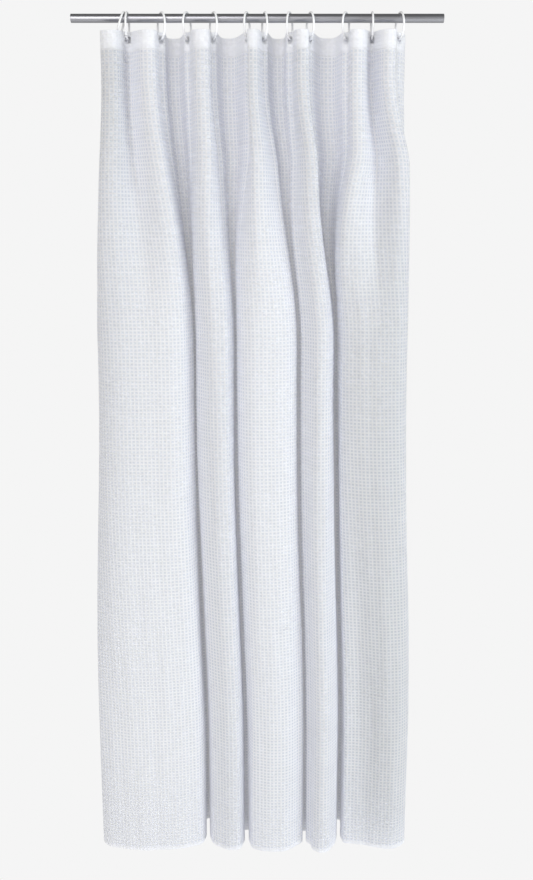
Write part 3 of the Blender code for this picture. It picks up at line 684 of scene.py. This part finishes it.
white_thread, wires, shader = new_material("white_thread", Sheen_Weight=0.15, Sheen_Roughness=0.4)
place = wires.add("ShaderNodeTexCoord").outputs["Object"]
twist = wires.add("ShaderNodeTexNoise", Vector=place, Scale=900.0, Detail=2.0)
shade = wires.add("ShaderNodeTexNoise", Vector=place, Scale=14.0, Detail=1.0)
tone = wires.mix(shade.outputs[0], (0.80, 0.80, 0.82, 1.0), (0.90, 0.90, 0.91, 1.0))
shade = wires.math("MULTIPLY", twist.outputs[0], 0.25)
wires.feed(shader, "Base_Color", wires.mix(shade, tone, (0.6, 0.6, 0.62, 1.0)))
wires.feed(shader, "Roughness", wires.math("MULTIPLY_ADD", twist.outputs[0], 0.2, 0.42))
relief = wires.add("ShaderNodeBump", Strength=0.5, Distance=0.00008, Height=twist.outputs[0])
wires.feed(shader, "Normal", relief.outputs[0])


def stitch_row(start, end):
    """All stitches of one straight seam, from (s, d) to (s, d) on the flat cloth: along each stitch the
    thread's middle follows an arch, 1 - t squared high, over the cloth's near face."""
    start, end = np.array(start), np.array(end)
    length = np.linalg.norm(end - start)
    way = (end - start) / length
    across = np.array([-way[1], way[0]])
    count = int(length / STITCH_PITCH)
    middles = start + (np.arange(count)[:, None] + 0.5) * STITCH_PITCH * way
    t = np.linspace(-1, 1, STITCH_STEPS + 1)[None, :, None]
    turn = np.linspace(0, 2 * math.pi, STITCH_SIDES, endpoint=False)[None, None, :]
    radius = THREAD_R * np.sqrt(np.maximum(1 - 0.8 * t**4, 0.1))
    side = radius * np.cos(turn)
    up = radius * np.sin(turn) + THREAD_R * (0.7 - 1.6 * t**2)
    middle = middles[:, None, None, :]
    flat = middle + (STITCH_LENGTH / 2 * t)[..., None] * way + side[..., None] * across
    up = np.broadcast_to(up, flat.shape[:-1])
    return hung(flat[..., 0], flat[..., 1], STITCH_DENT - CLOTH_THICK / 2 - up)


def stitched(name, points, node):
    """One mesh of all the stitches of a seam, each a capped tube."""
    rows, sides = points.shape[1:3]
    tube = grid_faces(rows, sides, False, True)
    per = rows * sides
    # The six-sided end of the thread, closed by two quads.
    caps = np.array([[5, 4, 3, 0], [3, 2, 1, 0]])
    caps = np.vstack([caps, caps[:, ::-1] + (rows - 1) * sides])
    one = np.vstack([tube, caps])
    a, b, c = (points[0].reshape(-1, 3)[one[0, k]] for k in (0, 1, 2))
    outwards = np.dot(np.cross(b - a, c - a), a - points[0, 0].mean(axis=0)) > 0
    one = one if outwards else one[:, ::-1]
    faces = (one[None] + per * np.arange(len(points))[:, None, None]).reshape(-1, 4)
    seam = new_piece(name, points, faces, white_thread)
    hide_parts(node)
    gathers(seam)
    return seam


low_d = CLOTH_LENGTH - EDGE_STITCH_IN
far_s = CLOTH_WIDTH - EDGE_STITCH_IN
seams = [
    stitched("top_seam", stitch_row((SIDE_HEM, TOP_STITCH_DROP), (CLOTH_WIDTH - SIDE_HEM, TOP_STITCH_DROP)),
             "stitch_top"),
    stitched("bottom_seam", stitch_row((SIDE_HEM, low_d), (CLOTH_WIDTH - SIDE_HEM, low_d)), "stitch_bottom"),
    stitched("left_seam", stitch_row((EDGE_STITCH_IN, TOP_HEM), (EDGE_STITCH_IN, low_d)), "stitch_left"),
    stitched("right_seam", stitch_row((far_s, TOP_HEM), (far_s, low_d)), "stitch_right"),
]

# ---------------------------------------------------------------------------------------------
# Buttonholes
# The edge of each hole is overcast: thread is wound over it, turn beside turn, all the way round,
# so the cloth can't fray on the ring.
# ---------------------------------------------------------------------------------------------
OVERCAST_TURNS = 46
OVERCAST_STEPS = 4 * OVERCAST_TURNS
OVERCAST_SIDES = 14
OVERCAST_DEPTH = 0.00012


def overcast_edge(middle, way, up):
    """A torus round the hole whose section swells once for each turn of the thread, at a slant."""
    turn = np.linspace(0, 2 * math.pi, OVERCAST_STEPS, endpoint=False)
    around = np.linspace(0, 2 * math.pi, OVERCAST_SIDES, endpoint=False)
    rays = np.cos(turn)[:, None] * way + np.sin(turn)[:, None] * up
    out = np.tile(np.cross(way, up), (OVERCAST_STEPS, 1))
    twist_turn = OVERCAST_TURNS * turn[:, None] + around[None, :]
    radii = BINDING_R - OVERCAST_DEPTH * (0.5 - 0.5 * np.cos(twist_turn))
    return tube_points(middle + (BORE_R + BINDING_R) * rays, rays, -out, radii, OVERCAST_SIDES)


for number, (middle, way, up) in enumerate(zip(holes, along, upright), 1):
    edge_points = overcast_edge(middle, way, up)
    edge = new_piece(f"overcast_edge_{number:02d}", edge_points,
                     grid_faces(*edge_points.shape[:2], True, True),
                     white_thread)
    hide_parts(f"buttonhole_{number:02d}")
    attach(edge, ring_body(number))

# ---------------------------------------------------------------------------------------------
# Studio
# A plain pale floor and a pale surround, one broad soft lamp in front and a bluish one at the right,
# and a camera a little above the middle of the cloth, tipped down.
# ---------------------------------------------------------------------------------------------
CAMERA_PLACE = (0.0203, -2.376, -0.4386)
CAMERA_PITCH = math.radians(12.2)
CAMERA_VIEW = math.radians(47.08)
FLOOR_GAP = 0.06
FLOOR_SIZE = 30.0
PALE = (0.913, 0.913, 0.913, 1.0)

camera = bpy.data.objects.new("camera", bpy.data.cameras.new("camera"))
bpy.context.scene.collection.objects.link(camera)
camera.location = CAMERA_PLACE
camera.rotation_euler = (math.pi / 2 - CAMERA_PITCH, 0.0, 0.0)
camera.data.angle = CAMERA_VIEW
bpy.context.scene.camera = camera


def lamp(name, place, aim, size, power, colour):
    """A soft rectangular lamp that faces a point."""
    light = bpy.data.lights.new(name, "AREA")
    light.shape = "RECTANGLE"
    light.size, light.size_y = size
    light.energy = power
    light.color = colour
    item = bpy.data.objects.new(name, light)
    item.location = place
    towards = np.array(aim) - np.array(place)
    item.rotation_euler = (math.acos(-towards[2] / np.linalg.norm(towards)), 0.0,
                           math.atan2(towards[0], -towards[1]) + math.pi)
    bpy.context.scene.collection.objects.link(item)
    return item


lamp("front_lamp", (-0.9, -3.0, 0.3), (0, 0, -0.95), (1.6, 2.4), 50.0, (0.985, 0.97, 1.0))
lamp("right_lamp", (2.6, -1.9, -0.6), (0, 0, -1.0), (1.2, 2.4), 55.0, (0.86, 0.92, 1.0))

floor_look = bpy.data.materials.new("pale_floor")
floor_look.use_nodes = True
wires = Wiring(floor_look.node_tree)
floor_look.node_tree.nodes.clear()
seen = wires.add("ShaderNodeLightPath").outputs["Is Camera Ray"]
matt = wires.add("ShaderNodeBsdfDiffuse", Color=PALE)
glow = wires.add("ShaderNodeEmission", Color=PALE, Strength=1.0)
both = wires.add("ShaderNodeMixShader", n0=seen, n1=matt.outputs[0], n2=glow.outputs[0])
wires.add("ShaderNodeOutputMaterial", Surface=both.outputs[0])
floor_z = top_z - CLOTH_LENGTH - FLOOR_GAP
floor_corners = [(x * FLOOR_SIZE, y * FLOOR_SIZE, floor_z) for x, y in ((-1, -1), (1, -1), (1, 1), (-1, 1))]
floor = new_piece("floor", floor_corners, np.array([[0, 1, 2, 3]]), floor_look)

SURROUND_DIFFUSE = 0.66
SURROUND_GLOSSY = 0.25
world = bpy.data.worlds.new("surround")
world.use_nodes = True
bpy.context.scene.world = world
wires = Wiring(world.node_tree)
world.node_tree.nodes.clear()
path = wires.add("ShaderNodeLightPath")
strength = wires.add("ShaderNodeMix", {"data_type": "FLOAT"}, n0=path.outputs["Is Glossy Ray"],
                     n2=SURROUND_DIFFUSE, n3=SURROUND_GLOSSY)
strength = wires.add("ShaderNodeMix", {"data_type": "FLOAT"}, n0=path.outputs["Is Camera Ray"],
                     n2=strength.outputs[0], n3=1.0)
sky = wires.add("ShaderNodeBackground", Color=PALE, Strength=strength.outputs[0])
wires.add("ShaderNodeOutputWorld", Surface=sky.outputs[0])
bpy.context.scene.view_settings.view_transform = "Standard"
